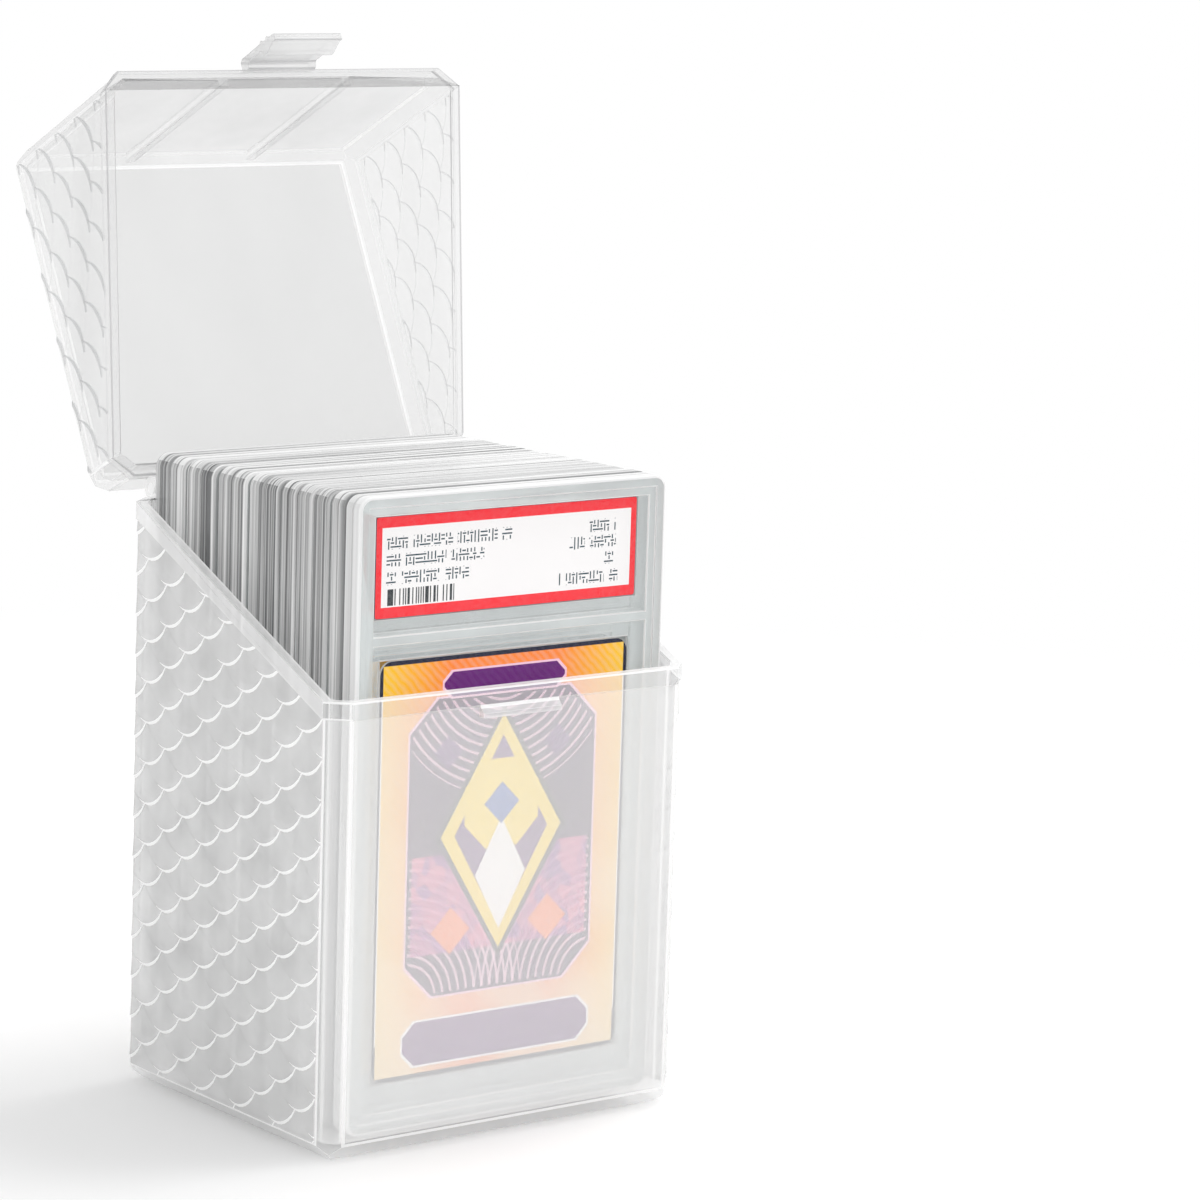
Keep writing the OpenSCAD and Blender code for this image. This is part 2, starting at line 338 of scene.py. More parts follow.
def clear_plastic(name, tint, cover, slant, rough=0.12, streaks=0.03, scale=60.0,
                  stretch=(1.0, 1.0, 0.2), bump=0.0, shade=0.9):
    """A veil of one tint that covers a share of what is behind it, and more at a slant."""
    material, tree, shader = new_material(name, Specular_IOR_Level=0.5)
    marks = use(tree, streaks_and_light_bands, Scale=scale, Stretch=stretch)
    uneven = sum_of(tree, "SUBTRACT", marks["Streak"], 0.5)
    darker = colour(*[c * shade for c in tint])
    shaded = sum_of(tree, "MULTIPLY_ADD", uneven, 2.0, 0.3, clamp=True)
    tree.links.new(lay(tree, colour(*tint), darker, shaded), shader.inputs["Base Color"])
    dull = sum_of(tree, "MULTIPLY_ADD", marks["Cloud"], rough, rough / 2)
    tree.links.new(dull, shader.inputs["Roughness"])
    facing = node(tree, "ShaderNodeLayerWeight", {"Blend": 0.5}).outputs["Facing"]
    steep = sum_of(tree, "POWER", facing, 2.0)
    covered = sum_of(tree, "MULTIPLY_ADD", steep, slant - cover, cover)
    covered = sum_of(tree, "MULTIPLY_ADD", uneven, streaks, covered, clamp=True)
    path = node(tree, "ShaderNodeLightPath").outputs
    lighting = sum_of(tree, "MAXIMUM", path["Is Shadow Ray"], path["Is Diffuse Ray"])
    thinner = sum_of(tree, "MULTIPLY_ADD", lighting, LIGHT_SHARE - 1, 1.0)
    tree.links.new(sum_of(tree, "MULTIPLY", covered, thinner), shader.inputs["Alpha"])
    if bump:
        raised = node(tree, "ShaderNodeBump", {"Height": marks["Streak"], "Strength": bump, "Distance": MM})
        tree.links.new(raised.outputs["Normal"], shader.inputs["Normal"])
    return material


# These are copies of one clear plastic, and their tints and covers partly paint in light and shade.
# case_glint and scale_edge are white: painted highlights on edges. The lid's and the latch's plastics are
# greyer than the base's front wall, as painted shade. The lid's panel is greyer still. Its rim edges, its
# scale edges and the latch's edges are painted grey, and its upright sides and scale walls are painted
# paler, as light. The foot and the band's sides are painted pale, as light. The base's scale wall is
# painted darker, as shade on the side walls.
case_wall = clear_plastic("case_wall", (255, 255, 255), 0.32, 0.75, shade=0.97)
case_band = clear_plastic("case_band", (246, 247, 248), 0.11, 0.5)
side_band = clear_plastic("side_band", (252, 252, 252), 0.5, 0.8)
case_foot = clear_plastic("case_foot", (255, 255, 255), 0.75, 0.9, streaks=0.2, shade=0.95)
case_glint = clear_plastic("case_glint", (255, 255, 255), 0.85, 0.95, shade=0.98)
lid_wall = clear_plastic("lid_wall", (226, 226, 226), 0.22, 0.45, rough=0.4, streaks=0.01)
lid_panel = clear_plastic("lid_panel", (205, 205, 205), 0.3, 0.5, rough=0.4, streaks=0.01, shade=0.96)
lid_rim = clear_plastic("lid_rim", (194, 194, 195), 0.78, 0.9)
lid_side = clear_plastic("lid_side", (246, 246, 246), 0.2, 0.45, rough=0.4, streaks=0.01)
latch_wall = clear_plastic("latch_wall", (232, 232, 232), 0.4, 0.8)
scale_wall = clear_plastic(
    "scale_wall", (220, 220, 220), 0.48, 0.85,
    streaks=0.3, scale=110.0, stretch=(1.0, 1.0, 1.0), bump=0.15, shade=0.84,
)
scale_edge = clear_plastic("scale_edge", (255, 255, 255), 0.92, 0.98, shade=0.98)
lid_scale_wall = clear_plastic(
    "lid_scale_wall", (248, 248, 248), 0.15, 0.35, streaks=0.1, scale=110.0, bump=0.15,
)
lid_scale_edge = clear_plastic("lid_scale_edge", (200, 201, 202), 0.6, 0.8)
holder_frame = clear_plastic("holder_frame", (218, 223, 223), 0.5, 0.85, scale=90.0)
holder_window = clear_plastic("holder_window", (228, 234, 236), 0.01, 0.15, scale=90.0, streaks=0.01)
holder_field = clear_plastic("holder_field", (241, 248, 248), 0.85, 0.95, scale=90.0, shade=0.95)
print("materials so far:", [material.name for material in bpy.data.materials])

# %% [markdown]
# The narrow sides of the holders show many upright stripes, because each half bends the light behind it in
# bands, so the stripes are painted light and shade. Noise that is pulled out along the height and the
# width, but not across the thickness, gives such bands: upright on the sides and level on the tops. A slow
# wave paints the row lighter and darker in turn. The front holder is painted pale, as if lit, with painted
# shade in a dark gap just behind it. The tops are painted lighter than the sides, as lit from above, and
# the seam grooves darker, as shade.

# %% The striped sides of the holders
FRONT_HOLDER_END, GAP_SHADE_END = -30.0, -27.5
ROW_WAVE, ROW_WAVE_AT = 26.0, 4.0
FINE_SCALE, FINE_SWING = 1500.0, 2.6
BROAD_SCALE, BROAD_SWING = 420.0, 1.8
EDGE_ON_COVER = 0.98


def striped(name, dark, light, cover, level, swing):
    material, tree, shader = new_material(name)
    place = node(tree, "ShaderNodeTexCoord").outputs["Object"]
    depth = node(tree, "ShaderNodeSeparateXYZ", {0: place}).outputs["Y"]
    turn = 2 * math.pi / ROW_WAVE
    # A slow wave along the row: painted light and shade.
    wave = sum_of(tree, "COSINE", sum_of(tree, "MULTIPLY_ADD", depth, turn / MM, -turn * ROW_WAVE_AT))
    fine = use(tree, streaks_and_light_bands, Scale=FINE_SCALE, Stretch=(0.004, 1.0, 0.004))
    fine_off = sum_of(tree, "SUBTRACT", fine["Streak"], 0.5)
    broad = use(tree, streaks_and_light_bands, Scale=BROAD_SCALE, Stretch=(0.01, 1.0, 0.01))
    broad_off = sum_of(tree, "SUBTRACT", broad["Streak"], 0.5)
    bright = sum_of(tree, "MULTIPLY_ADD", wave, swing, level)
    bright = sum_of(tree, "MULTIPLY_ADD", fine_off, FINE_SWING, bright)
    bright = sum_of(tree, "MULTIPLY_ADD", broad_off, BROAD_SWING, bright, clamp=True)
    # Painted shade just behind the front holder, fading out by the gap's end.
    past_gap_shade = node(tree, "ShaderNodeMapRange", {
        "Value": depth, "From Min": FRONT_HOLDER_END * MM, "From Max": GAP_SHADE_END * MM,
    }, interpolation_type="SMOOTHSTEP").outputs[0]
    bright = sum_of(tree, "MULTIPLY", bright, past_gap_shade)
    # Painted light: the front holder is pale.
    front = sum_of(tree, "LESS_THAN", depth, FRONT_HOLDER_END * MM)
    pale = sum_of(tree, "MULTIPLY", front, sum_of(tree, "MULTIPLY_ADD", fine_off, 0.9, 0.9))
    bright = sum_of(tree, "MAXIMUM", bright, pale, clamp=True)
    tree.links.new(lay(tree, colour(*dark), colour(*light), bright), shader.inputs["Base Color"])
    tree.links.new(sum_of(tree, "MULTIPLY_ADD", fine["Cloud"], 0.2, 0.1), shader.inputs["Roughness"])
    facing = node(tree, "ShaderNodeLayerWeight", {"Blend": 0.5}).outputs["Facing"]
    covered = sum_of(tree, "MULTIPLY_ADD", facing, EDGE_ON_COVER - cover, cover, clamp=True)
    tree.links.new(covered, shader.inputs["Alpha"])
    return material


holder_side = striped("holder_side", (104, 105, 106), (232, 232, 232), 0.85, 0.4, 0.15)
holder_top = striped("holder_top", (130, 131, 132), (246, 246, 246), 0.85, 0.75, 0.12)
holder_glint = striped("holder_glint", (120, 121, 122), (250, 250, 250), 0.85, 0.55, 0.12)
holder_seam = striped("holder_seam", (96, 97, 98), (222, 222, 222), 0.8, 0.35, 0.1)
print("striped plastics:", [m.name for m in (holder_side, holder_top, holder_glint, holder_seam)])

# %% [markdown]
# ## The case
# The base, the lid and the latch have their shape from the measured model. Real moulded edges
# are slightly round, and in clear plastic they catch the light as bright lines. So each is
# copied, its loose triangles are joined, and its edges are bevelled: wide where the faces beside
# an edge leave room, and fine elsewhere. The round faces get a brighter material.

# %% Copy and soften the case's pieces
case_base = softened("base", "case_base", 0.4, 0.15)
case_lid = softened("lid", "case_lid", 0.45, 0.15)
case_latch = softened("latch", "case_latch", 0.3, 0.15)
for piece, body, replaced in (
    (case_base, "base", "base"), (case_lid, "lid", "lid"), (case_latch, "latch", "latch"),
):
    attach(piece, body)
    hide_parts(replaced)

# %% [markdown]
# The band along the base's rim is clearer than the walls in front, and at the sides it is painted paler, as
# light, so its faces get plastics of their own. The small catch bar gets that pale plastic too. The slanted
# foot, whose faces look down, is painted pale as if lit. The lid's large flat panel is painted a little
# greyer than its other walls, as shade, and so are the edges of its ribs, while its upright sides are
# painted paler, as light. The edges round its mouth are painted grey, not white, as shade. To find them,
# each face is turned back to where it lies on the shut lid.

# %% Give the case's faces their plastics
WALL, GLINT, BAND, SIDE_BAND, FOOT = range(5)
PANEL, RIM, LID_SIDE = range(2, 5)
SEAM_FRONT, SEAM_BACK, BAND_H = 96.0, 126.8, 3.8
SLOPE_FRONT, SLOPE_BACK = -35.7, 35.7
SEAM_GAP, LIP_H, LIP_BEVEL = 0.3, 2.4, 0.8
LIP_TOP = SEAM_GAP + LIP_H
OUTSIDE_X, OUTSIDE_Y, OUTSIDE_CORNER = 45.9, 40.0, 80.9
FOOT_SLANT, FOOT_LOW = -0.2, 0.1
CATCH_REACH, CATCH_AREA = 12, 80
RIB_X, RIB_REACH, RIB_FRONT = 16, 2, -35
SQUARE_ON = 0.98
HINGE_Y, HINGE_Z, OPEN_ANGLE = 43.1, 128.0, 117
hinge = Matrix.Translation(Vector((0, HINGE_Y, HINGE_Z)) * MM)
TIPPED = hinge @ Matrix.Rotation(math.radians(-OPEN_ANGLE), 4, "X") @ hinge.inverted()
SHUT = TIPPED.inverted()


def seam_at(y):
    """Height of the base's rim at a depth, in millimetres."""
    share = min(max((y - SLOPE_FRONT) / (SLOPE_BACK - SLOPE_FRONT), 0), 1)
    return SEAM_FRONT + share * (SEAM_BACK - SEAM_FRONT)


def faces_by_plastic(piece):
    """How many of the piece's faces have each of its materials."""
    slots = [face.material_index for face in piece.data.polygons]
    return [slots.count(slot) for slot in range(len(piece.data.materials))]


for piece, plastics in (
    (case_base, (case_wall, case_glint, case_band, side_band, case_foot)),
    (case_lid, (lid_wall, case_glint, lid_panel, lid_rim, lid_side)),
    (case_latch, (latch_wall, lid_rim)),
):
    for slot, plastic in enumerate(plastics):
        if slot < len(piece.data.materials):
            piece.data.materials[slot] = plastic
        else:
            piece.data.materials.append(plastic)

# Painted light: the catch bar, the rim band's sides and the foot get pale plastics.
for face in case_base.data.polygons:
    x, y, z = (v / MM for v in face.center)
    outside = abs(x) > OUTSIDE_X or abs(y) > OUTSIDE_Y or abs(x) + abs(y) > OUTSIDE_CORNER
    in_band = seam_at(y) - BAND_H - 0.2 < z < seam_at(y) + 0.1
    if face.material_index != WALL or not outside:
        continue
    if abs(x) < CATCH_REACH and y < SLOPE_FRONT and z > SEAM_FRONT / 2 and face.area < CATCH_AREA * MM ** 2:
        face.material_index = SIDE_BAND
    elif in_band:
        face.material_index = BAND if y < SLOPE_FRONT else SIDE_BAND
    elif face.normal.z < FOOT_SLANT and z > FOOT_LOW:
        face.material_index = FOOT
# Painted light and shade: the lid's panel and rib edges are greyer, its sides paler, and its mouth's edges
# grey.
for face in case_lid.data.polygons:
    x, y, z = (v / MM for v in SHUT @ face.center)
    if face.material_index == WALL and abs((SHUT.to_3x3() @ face.normal).z) > SQUARE_ON:
        face.material_index = PANEL
    elif face.material_index == WALL and abs(face.normal.x) > SQUARE_ON:
        face.material_index = LID_SIDE
    elif face.material_index == GLINT and z < seam_at(y) + LIP_TOP + LIP_BEVEL:
        face.material_index = RIM
    elif face.material_index == GLINT and y < RIB_FRONT and abs(abs(x) - RIB_X) < RIB_REACH:
        face.material_index = PANEL
# The hinge pins get the white edge plastic: a painted highlight.
for pin in ("hinge_pin_left", "hinge_pin_right"):
    nodes[pin].data.materials.clear()
    nodes[pin].data.materials.append(case_glint)
for piece in (case_base, case_lid):
    print(piece.name, "faces by plastic:", faces_by_plastic(piece))

# %% [markdown]
# ## The fish-scale relief
# The outer side walls carry rows of overlapping scales, like roof tiles hung upside down. Each
# row's lower edges stand proud of the row below. One scale is modelled and repeated by three
# Array modifiers. The sheet is then cut to the wall's outline with bisect, and its rim is pulled
# down into the wall.

# %% Model one scale
SCALE_W, SCALE_R = 14.9, 8.5
SCALE_HIGH, SCALE_LOW, SCALE_FALL = 0.36, 0.06, 1.4
SCALE_STEP, SCALE_LIP, LEAST_LIP = 0.26, 0.62, 0.08
PROUD_AT, PROUD_HALF, LEAST_PROUD = -0.42, 0.8, 0.2
ON_ARC, EDGE_FROM = 0.005, 0.15


def sag(u):
    """How far an arc has risen at a distance from its lowest point."""
    return SCALE_R - math.sqrt(SCALE_R ** 2 - min(abs(u), SCALE_W / 2) ** 2)


SCALE_LIFT = sag(SCALE_W / 2)


def proud(across):
    """A scale is turned a little, so that only its front half stands out, most at its middle."""
    off = min(1.0, abs(across - PROUD_AT) / PROUD_HALF)
    return math.cos(off * math.pi / 2)


def scale_point(across, along):
    """A point on a scale: across from -1 to 1, and along from its lower arc to the next rows."""
    half = SCALE_W / 2
    low = sag(across * half)
    high = SCALE_LIFT + sag((1 - abs(across)) * half)
    lifted = LEAST_PROUD + (1 - LEAST_PROUD) * proud(across)
    rise = SCALE_LOW + (SCALE_HIGH - SCALE_LOW) * lifted * (1 - along) ** SCALE_FALL
    return across * half, low + (high - low) * along, rise


bpy.ops.mesh.primitive_grid_add(x_subdivisions=12, y_subdivisions=4, size=2)
one_scale = rename("one_scale")
for vertex in one_scale.data.vertices:
    across, along, rise = scale_point(vertex.co.x, (vertex.co.y + 1) / 2)
    vertex.co = Vector((0, across, along)) * MM + Vector((-rise * MM, 0, 0))
open_mesh(one_scale)
pick(one_scale, "edges", lambda e: e.is_boundary and all(
    abs(v.co.z / MM - sag(v.co.y / MM)) < ON_ARC for v in e.verts))
bpy.ops.mesh.extrude_region_move()
mesh = bmesh.from_edit_mesh(one_scale.data)
for vertex in mesh.verts:
    if vertex.select:
        share = proud(vertex.co.y / MM / (SCALE_W / 2))
        vertex.co.x += SCALE_STEP * share * MM
        vertex.co.z -= (LEAST_LIP + SCALE_LIP * share) * MM
bmesh.update_edit_mesh(one_scale.data)
close_mesh()
# The step faces on the proud front half of each arc get the second plastic, white on the base: a painted
# highlight.
for material in (scale_wall, scale_edge):
    one_scale.data.materials.append(material)
for face in one_scale.data.polygons:
    across, low = face.center.y / MM, face.center.z / MM
    face.material_index = int(low < sag(across) and proud(across / (SCALE_W / 2)) > EDGE_FROM)
print("one scale:", len(one_scale.data.polygons), "faces,", round(SCALE_LIFT, 2), "mm lift")


# %% Helpers that lay the scales over a wall
SAME_SCALE_POINT, SUNK = 0.02, 0.2


def scale_sheet(name, columns, rows):
    """Columns and rows of scales. Two rows, the second half a scale along, are its repeat."""
    sheet = copy_of(one_scale, name)
    for count, step in (
        (2, (0, SCALE_W / 2, SCALE_LIFT)), (columns, (0, SCALE_W, 0)), (rows, (0, 0, 2 * SCALE_LIFT)),
    ):
        apply_modifier(sheet, "ARRAY", count=count, use_relative_offset=False, use_constant_offset=True,
                       constant_offset_displace=tuple(s * MM for s in step))
    open_mesh(sheet)
    bpy.ops.mesh.select_all(action="SELECT")
    bpy.ops.mesh.remove_doubles(threshold=SAME_SCALE_POINT * MM)
    close_mesh()
    return sheet


def cut(sheet, point, normal):
    """Cut away the side of the sheet that the normal points to."""
    open_mesh(sheet)
    bpy.ops.mesh.select_all(action="SELECT")
    bpy.ops.mesh.bisect(plane_co=Vector(point) * MM, plane_no=normal, clear_outer=True)
    close_mesh()


def seat_on_wall(sheet, wall_x):
    """Move the sheet out to the wall and pull its rim down into it."""
    sheet.data.transform(Matrix.Translation((wall_x * MM, 0, 0)))
    open_mesh(sheet)
    pick(sheet, "edges", lambda e: e.is_boundary)
    bpy.ops.mesh.extrude_region_move()
    mesh = bmesh.from_edit_mesh(sheet.data)
    for vertex in mesh.verts:
        if vertex.select:
            vertex.co.x = (wall_x + SUNK) * MM
    bmesh.update_edit_mesh(sheet.data)
    close_mesh()
    take(sheet)
    bpy.ops.object.shade_smooth_by_angle(angle=SMOOTH_BELOW)


print("a sheet's rim is sunk", SUNK, "mm into the wall")

# %% Scales on the base
WALL_X, WALL_Y, WALL_LOW = 45.75, 35.5, 3.9
SHEET_Y, SHEET_Z, TRIM = -43.5, -8, 0.15
COLUMNS, BASE_ROWS, LID_ROWS, LID_START_ROW = 7, 16, 8, 9
slope_tilt = math.atan2(SEAM_BACK - SEAM_FRONT, SLOPE_BACK - SLOPE_FRONT)
slope_normal = (0, -math.sin(slope_tilt), math.cos(slope_tilt))


def left_wall(name, rows, start_z, cuts):
    """A sheet of scales on the left wall, cut to the wall's outline."""
    sheet = scale_sheet(name, COLUMNS, rows)
    sheet.data.transform(Matrix.Translation(Vector((0, SHEET_Y, start_z)) * MM))
    for end in (-1, 1):
        cut(sheet, (0, end * WALL_Y, 0), (0, end, 0))
    for point, normal in cuts:
        cut(sheet, point, normal)
    seat_on_wall(sheet, -WALL_X)
    print(name, "has", len(sheet.data.polygons), "faces")
    return sheet


base_scales = left_wall("base_scales_left", BASE_ROWS, SHEET_Z, (
    ((0, 0, WALL_LOW), (0, 0, -1)),
    ((0, SLOPE_FRONT, SEAM_FRONT - BAND_H - TRIM), slope_normal),
))

# %% [markdown]
# The lid's scales are made as on the shut lid, where their rows run on from the base's. Then
# they are turned back with the lid about the hinge's axis.

# %% Scales on the lid
TOP, TOP_BEVEL = 142.0, 3.5

lid_scales = left_wall("lid_scales_left", LID_ROWS, SHEET_Z + LID_START_ROW * 2 * SCALE_LIFT, (
    ((0, 0, TOP - TOP_BEVEL - 2 * TRIM), (0, 0, 1)),
    ((0, SLOPE_FRONT, SEAM_FRONT + LIP_TOP + TRIM), tuple(-n for n in slope_normal)),
))
lid_scales.data.transform(TIPPED)


# %% Mirror the scales to the right walls
def mirrored(piece, name):
    """A copy on the other side of the case, with its faces turned outwards again."""
    twin = copy_of(piece, name)
    twin.data.transform(Matrix.Scale(-1, 4, (1, 0, 0)))
    open_mesh(twin)
    bpy.ops.mesh.select_all(action="SELECT")
    bpy.ops.mesh.flip_normals()
    close_mesh()
    return twin


# On the lid the scales get a paler wall and grey edges: painted light and painted shade.
lid_scales.data.materials[0], lid_scales.data.materials[1] = lid_scale_wall, lid_scale_edge
for piece, body in ((base_scales, "base"), (lid_scales, "lid")):
    for side in (piece, mirrored(piece, piece.name.replace("left", "right"))):
        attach(side, body)
bpy.data.objects.remove(one_scale)

# %% [markdown]
# ## The card holders
# A holder is two clear halves welded round their edge. Each half has a raised frame, a step and
# two windows. One half is softened as the case was, its faces are given their plastics by their
# place, and it is copied to every holder's place in the row.

# %% Sort a half's faces
HOLDERS = 13
SIDE, HOLDER_GLINT, FRAME, WINDOW, FIELD, SEAM, TOP_SIDE = range(7)
HOLDER_PLASTICS = (
    holder_side, holder_glint, holder_frame, holder_window, holder_field, holder_seam, holder_top,
)
HALF_T, FRAME_RISE, STEP_RISE = 2.7, 0.4, 0.3
NEAR, AT_SEAM = 0.1, 0.02


def depth_of(point, seam):
    """How far a point lies from the seam, in millimetres."""
    return abs(point.y - seam) / MM


def give_plastics(half, seam, inside):
    """Each face gets its plastic by how far it lies from the seam and by how it looks."""
    for material in HOLDER_PLASTICS:
        half.data.materials.append(material)
    for face in half.data.polygons:
        depth = depth_of(face.center, seam)
        reach = [depth_of(half.data.vertices[v].co, seam) for v in face.vertices]
        if abs(face.normal.y) < 0.5:
            outer = max(reach) > HALF_T - NEAR and min(reach) < NEAR
            side = TOP_SIDE if face.normal.z > 0.5 else SIDE
            face.material_index = side if outer else FRAME
        elif depth < AT_SEAM:
            face.material_index = inside
        elif depth < HALF_T - FRAME_RISE - STEP_RISE + NEAR:
            face.material_index = WINDOW
        else:
            face.material_index = FRAME


print("a half can have", len(HOLDER_PLASTICS), "plastics")

# %% [markdown]
# The pale field round a card is a film on the back half's mating face. From behind it would hide
# the last card's back, so the film is left open where the card and the label lie. The opening is
# smaller than they are, because the row stands a little askew.

# %% Open the field's film behind the card and the label
FILM_INSET = 2.7

tree = holder_field.node_tree
alpha = tree.nodes["Principled BSDF"].inputs["Alpha"]
film = alpha.links[0].from_socket
place = node(tree, "ShaderNodeTexCoord").outputs["Object"]
split = node(tree, "ShaderNodeSeparateXYZ", {0: place}).outputs
for part in ("card", "label"):
    low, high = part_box(f"holder_01_{part}")
    outside = 0.0
    for axis, at, reach in (("X", 0.0, high.x - low.x), ("Z", (low.z + high.z) / 2, high.z - low.z)):
        off = sum_of(tree, "ABSOLUTE", sum_of(tree, "SUBTRACT", split[axis], at))
        beyond = sum_of(tree, "GREATER_THAN", off, reach / 2 - FILM_INSET * MM)
        outside = sum_of(tree, "MAXIMUM", outside, beyond)
    film = sum_of(tree, "MULTIPLY", film, outside)
tree.links.new(film, alpha)
print("the field's film is open", FILM_INSET, "mm inside the card and the label")

# %% [markdown]
# The outer edges of a half are generously rounded and get a bright plastic, a painted highlight. The edges
# at the seam are small, and the two halves' edges together make a groove, whose darker plastic is painted
# shade. The frame and the windows have crisp little edges in the same bright plastic. So the bevels are
# made in three goes, on edges picked by their place.

# %% Soften one half
CRISP, ROUND, GROOVE = 0.12, 0.65, 0.25
CRISP_ABOVE, AT_DEPTH = math.radians(40), 0.01


def rounded_half(node_name, name, outward):
    """A half with its plastics and bevels. Outward is -1 for a front half and 1 for a back one."""
    half = copy_of(nodes[node_name], name)
    half.data.materials.clear()
    low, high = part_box(node_name)
    seam = high.y if outward < 0 else low.y
    join_up(half)
    close_mesh()
    give_plastics(half, seam, WINDOW if outward < 0 else FIELD)

    def at_side(edge, depth):
        """The edge is at that depth, and one of its faces is an outer side."""
        level = all(abs(depth_of(v.co, seam) - depth) < AT_DEPTH for v in edge.verts)
        return level and any(f.material_index in (SIDE, TOP_SIDE) for f in edge.link_faces)

    def sharp(edge):
        """A sharp edge of the frame or of a window."""
        return edge.calc_face_angle(0) > CRISP_ABOVE and all(
            f.material_index in (FRAME, WINDOW) for f in edge.link_faces)

    open_mesh(half)
    found = [pick(half, "edges", sharp)]
    bpy.ops.mesh.bevel(offset=CRISP * MM, segments=1, material=HOLDER_GLINT)
    found.append(pick(half, "edges", lambda e: at_side(e, HALF_T)))
    bpy.ops.mesh.bevel(offset=ROUND * MM, segments=3, material=HOLDER_GLINT)
    found.append(pick(half, "edges", lambda e: at_side(e, 0)))
    bpy.ops.mesh.bevel(offset=GROOVE * MM, segments=1, material=SEAM)
    close_mesh()
    smooth(half)
    print(name, "has", len(half.data.polygons), "faces; edges rounded:", found)
    return half


front_half = rounded_half("holder_01_front", "front_half", -1)
back_half = rounded_half("holder_01_back", "back_half", 1)
print("faces by plastic:", faces_by_plastic(front_half))

# %% Stand the halves in the row
for i in range(1, HOLDERS + 1):
    body = f"holder_{i:02d}"
    for made, part in ((front_half, "front"), (back_half, "back")):
        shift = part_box(f"{body}_{part}")[0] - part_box(f"holder_01_{part}")[0]
        half = copy_of(made, f"{body}_shell_{part}", shift)
        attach(half, body)
        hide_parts(f"{body}_{part}")
bpy.data.objects.remove(front_half)
bpy.data.objects.remove(back_half)
print("halves in the row:", 2 * HOLDERS)

# %% [markdown]
# ## Print
# The cards and labels are printed. A print is layers of flat shapes, so two groups draw them on
# a sheet measured in millimetres from its middle: a bar with square or cut corners, and a disc.
# The design is this model's own.

# %% Groups that draw flat shapes
WHERE = [("X", FLOAT, 0.0), ("Y", FLOAT, 0.0), ("At X", FLOAT, 0.0), ("At Y", FLOAT, 0.0)]

bar, given, out = new_group(
    "bar",
    WHERE + [("Half width", FLOAT, 1.0), ("Half height", FLOAT, 1.0), ("Cut", FLOAT, 0.0)],
    [("Mask", FLOAT)],
)
off_x = sum_of(bar, "ABSOLUTE", sum_of(bar, "SUBTRACT", given["X"], given["At X"]))
off_y = sum_of(bar, "ABSOLUTE", sum_of(bar, "SUBTRACT", given["Y"], given["At Y"]))
over_x = sum_of(bar, "SUBTRACT", off_x, given["Half width"])
over_y = sum_of(bar, "SUBTRACT", off_y, given["Half height"])
over = sum_of(bar, "MAXIMUM", over_x, over_y)
slanted = sum_of(bar, "ADD", sum_of(bar, "ADD", over_x, over_y), given["Cut"])
over = sum_of(bar, "MAXIMUM", over, slanted)
bar.links.new(sum_of(bar, "LESS_THAN", over, 0.0), out["Mask"])

disc, given, out = new_group(
    "disc",
    WHERE + [("Outer", FLOAT, 5.0)],
    [("Mask", FLOAT), ("Distance", FLOAT)],
)
off_x = sum_of(disc, "SUBTRACT", given["X"], given["At X"])
off_y = sum_of(disc, "SUBTRACT", given["Y"], given["At Y"])
squares = [sum_of(disc, "MULTIPLY", off, off) for off in (off_x, off_y)]
far = sum_of(disc, "SQRT", sum_of(disc, "ADD", *squares))
disc.links.new(sum_of(disc, "LESS_THAN", far, given["Outer"]), out["Mask"])
disc.links.new(far, out["Distance"])


def sheet_place(tree, width, height):
    """Millimetres from the middle of a printed face, from its UV map."""
    place = node(tree, "ShaderNodeUVMap", uv_map="print").outputs["UV"]
    split = node(tree, "ShaderNodeSeparateXYZ", {0: place}).outputs
    return (sum_of(tree, "MULTIPLY_ADD", split["X"], width, -width / 2),
            sum_of(tree, "MULTIPLY_ADD", split["Y"], height, -height / 2))


print("shape groups:", bar.name, disc.name)

# %% [markdown]
# ### The card's face
# The real card has a foil border that runs from yellow to orange, dark corners, plum panels and thin pale
# lines. The layers go down in that order, and the motif in the middle is a plain stack of lozenges over
# rings and a belt of tiles. Over the border lie pale peach clouds, partly print and partly painted sheen,
# and faint white waves, a painted sheen of the foil.

# %% Print the card's face
CARD_W, CARD_H, CARD_T = 63.5, 88.9, 0.6
NAVY, PLUM, VIOLET = colour(20, 24, 52), colour(66, 10, 76), colour(100, 12, 116)
YELLOW, ORANGE, PEACH = colour(255, 222, 10), colour(255, 132, 30), colour(255, 236, 196)
PINK, WHITE, DARK = colour(250, 205, 225), colour(252, 250, 250), colour(36, 12, 22)

card_face, tree, shader = new_material("card_face", Specular_IOR_Level=0.2)
x, y = sheet_place(tree, CARD_W, CARD_H)


def bar_mask(tree, x, y, at_x, at_y, half_w, half_h, cut=0.0):
    """1 in a bar of that place and size, and 0 outside it."""
    placed = use(tree, bar, X=x, Y=y, At_X=at_x, At_Y=at_y, Half_width=half_w, Half_height=half_h, Cut=cut)
    return placed["Mask"]


side_share = sum_of(tree, "DIVIDE", sum_of(tree, "ABSOLUTE", x), CARD_W / 2)
high_share = sum_of(tree, "MULTIPLY_ADD", y, 1 / CARD_H, 0.5, clamp=True)
warm = sum_of(tree, "MULTIPLY_ADD", side_share, -1.3, 1.55, clamp=True)
paint = lay(tree, YELLOW, ORANGE, warm)
# Pale peach clouds lower on the border: partly print, partly painted sheen.
pale = sum_of(tree, "MULTIPLY_ADD", high_share, -0.7, 0.7, clamp=True)
shine = use(tree, streaks_and_light_bands, Scale=45.0)["Cloud"]
pale = sum_of(tree, "MULTIPLY", pale, sum_of(tree, "MULTIPLY_ADD", shine, 4.0, -1.4, clamp=True))
paint = lay(tree, paint, PEACH, pale)
